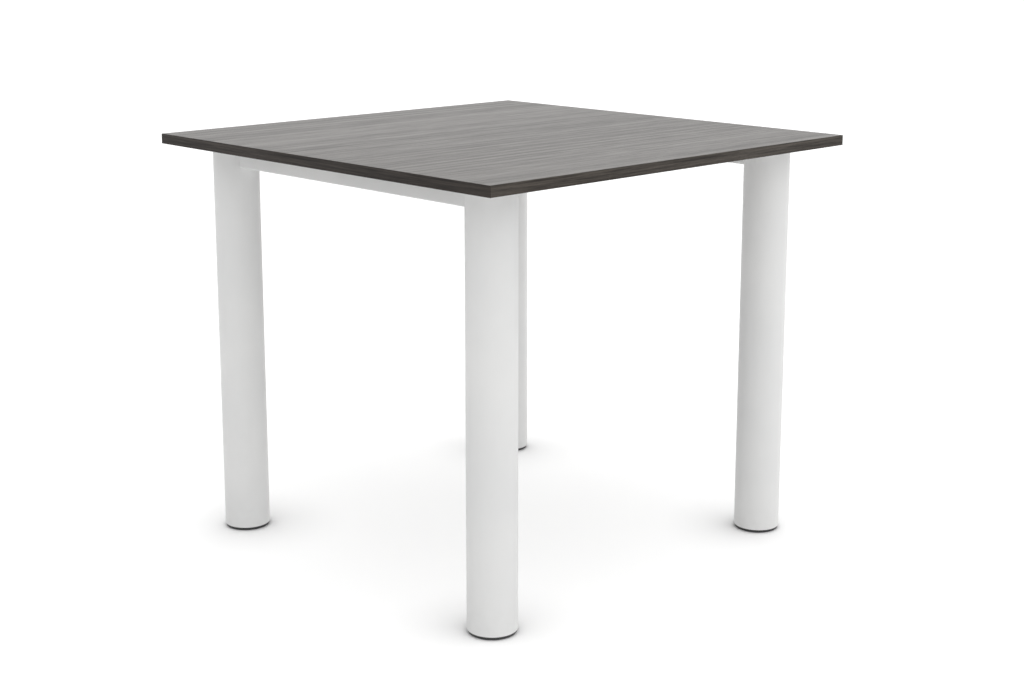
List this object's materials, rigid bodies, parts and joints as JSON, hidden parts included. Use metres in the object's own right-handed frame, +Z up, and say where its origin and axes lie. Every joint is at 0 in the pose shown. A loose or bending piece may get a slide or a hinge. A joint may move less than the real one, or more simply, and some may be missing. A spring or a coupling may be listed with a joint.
{
  "type": "counter height table",
  "caption": "Square counter height table with a woodgrain laminate top on round white steel legs, square end rails under the top and screw-adjusted levelling feet.",
  "frame": {"origin": "on the floor under the middle of the top, with the levelling feet screwed fully in", "axes": "+Z up, +X along the wood grain, -Y is the front; the end rails run along Y"},
  "size_m": [1.2, 1.2, 1.022],
  "materials": {
    "woodgrain_laminate": "printed woodgrain, fine straight grain, satin",
    "woodgrain_edge": "woodgrain edge band to match the top, satin",
    "board_core": "raw particle board",
    "white_powder_coat": "white powder coat, satin, fine orange peel",
    "zinc_steel": "bright zinc plate",
    "black_nylon": "moulded, fine texture",
    "sole_rubber": "matt, non-slip"
  },
  "bodies": {
    "table": {"backing_sheet": "woodgrain_laminate", "board_inserts": "zinc_steel", "clamp_saddle_front_left": "zinc_steel", "clamp_saddle_front_right": "zinc_steel", "clamp_saddle_rear_left": "zinc_steel", "clamp_saddle_rear_right": "zinc_steel", "edge_band_front": "woodgrain_edge", "edge_band_left": "woodgrain_edge", "edge_band_rear": "woodgrain_edge", "edge_band_right": "woodgrain_edge", "end_plate_front_left": "white_powder_coat", "end_plate_front_right": "white_powder_coat", "end_plate_rear_left": "white_powder_coat", "end_plate_rear_right": "white_powder_coat", "end_rail_left": "white_powder_coat", "end_rail_right": "white_powder_coat", "flange_screws": "zinc_steel", "foot_nut_front_left": "zinc_steel", "foot_nut_front_right": "zinc_steel", "foot_nut_rear_left": "zinc_steel", "foot_nut_rear_right": "zinc_steel", "leg_flange_front_left": "white_powder_coat", "leg_flange_front_right": "white_powder_coat", "leg_flange_rear_left": "white_powder_coat", "leg_flange_rear_right": "white_powder_coat", "leg_plug_front_left": "black_nylon", "leg_plug_front_right": "black_nylon", "leg_plug_rear_left": "black_nylon", "leg_plug_rear_right": "black_nylon", "leg_tube_front_left": "white_powder_coat", "leg_tube_front_right": "white_powder_coat", "leg_tube_rear_left": "white_powder_coat", "leg_tube_rear_right": "white_powder_coat", "plate_bolts": "zinc_steel", "rail_block_front_left": "zinc_steel", "rail_block_front_right": "zinc_steel", "rail_block_rear_left": "zinc_steel", "rail_block_rear_right": "zinc_steel", "rail_bolts": "zinc_steel", "stretcher_front": "white_powder_coat", "stretcher_rear": "white_powder_coat", "stretcher_screws": "zinc_steel", "top_core": "board_core", "top_laminate": "woodgrain_laminate", "weld_nuts": "zinc_steel"},
    "sole_front_left": {"foot_sole_front_left": "sole_rubber"},
    "foot_front_left": {"foot_base_front_left": "black_nylon", "foot_stud_front_left": "zinc_steel"},
    "sole_front_right": {"foot_sole_front_right": "sole_rubber"},
    "foot_front_right": {"foot_base_front_right": "black_nylon", "foot_stud_front_right": "zinc_steel"},
    "sole_rear_left": {"foot_sole_rear_left": "sole_rubber"},
    "foot_rear_left": {"foot_base_rear_left": "black_nylon", "foot_stud_rear_left": "zinc_steel"},
    "sole_rear_right": {"foot_sole_rear_right": "sole_rubber"},
    "foot_rear_right": {"foot_base_rear_right": "black_nylon", "foot_stud_rear_right": "zinc_steel"}
  },
  "joints": [
    {"name": "foot_travel_front_left", "type": "slide", "parent": "table", "child": "sole_front_left", "axis": [0, 0, -1], "range_m": [0, 0.015]},
    {"name": "foot_turn_front_left", "type": "hinge", "parent": "sole_front_left", "child": "foot_front_left", "pos_m": [-0.471, -0.466, 0.003], "axis": [0, 0, -1], "range_deg": [0, 3600]},
    {"name": "foot_travel_front_right", "type": "slide", "parent": "table", "child": "sole_front_right", "axis": [0, 0, -1], "range_m": [0, 0.015]},
    {"name": "foot_turn_front_right", "type": "hinge", "parent": "sole_front_right", "child": "foot_front_right", "pos_m": [0.471, -0.466, 0.003], "axis": [0, 0, -1], "range_deg": [0, 3600]},
    {"name": "foot_travel_rear_left", "type": "slide", "parent": "table", "child": "sole_rear_left", "axis": [0, 0, -1], "range_m": [0, 0.015]},
    {"name": "foot_turn_rear_left", "type": "hinge", "parent": "sole_rear_left", "child": "foot_rear_left", "pos_m": [-0.471, 0.466, 0.003], "axis": [0, 0, -1], "range_deg": [0, 3600]},
    {"name": "foot_travel_rear_right", "type": "slide", "parent": "table", "child": "sole_rear_right", "axis": [0, 0, -1], "range_m": [0, 0.015]},
    {"name": "foot_turn_rear_right", "type": "hinge", "parent": "sole_rear_right", "child": "foot_rear_right", "pos_m": [0.471, 0.466, 0.003], "axis": [0, 0, -1], "range_deg": [0, 3600]}
  ],
  "couplings": [
    {"joint": "foot_travel_front_left", "follows": "foot_turn_front_left", "m_per_rad": 0.00023873},
    {"joint": "foot_travel_front_right", "follows": "foot_turn_front_right", "m_per_rad": 0.00023873},
    {"joint": "foot_travel_rear_left", "follows": "foot_turn_rear_left", "m_per_rad": 0.00023873},
    {"joint": "foot_travel_rear_right", "follows": "foot_turn_rear_right", "m_per_rad": 0.00023873}
  ]
}
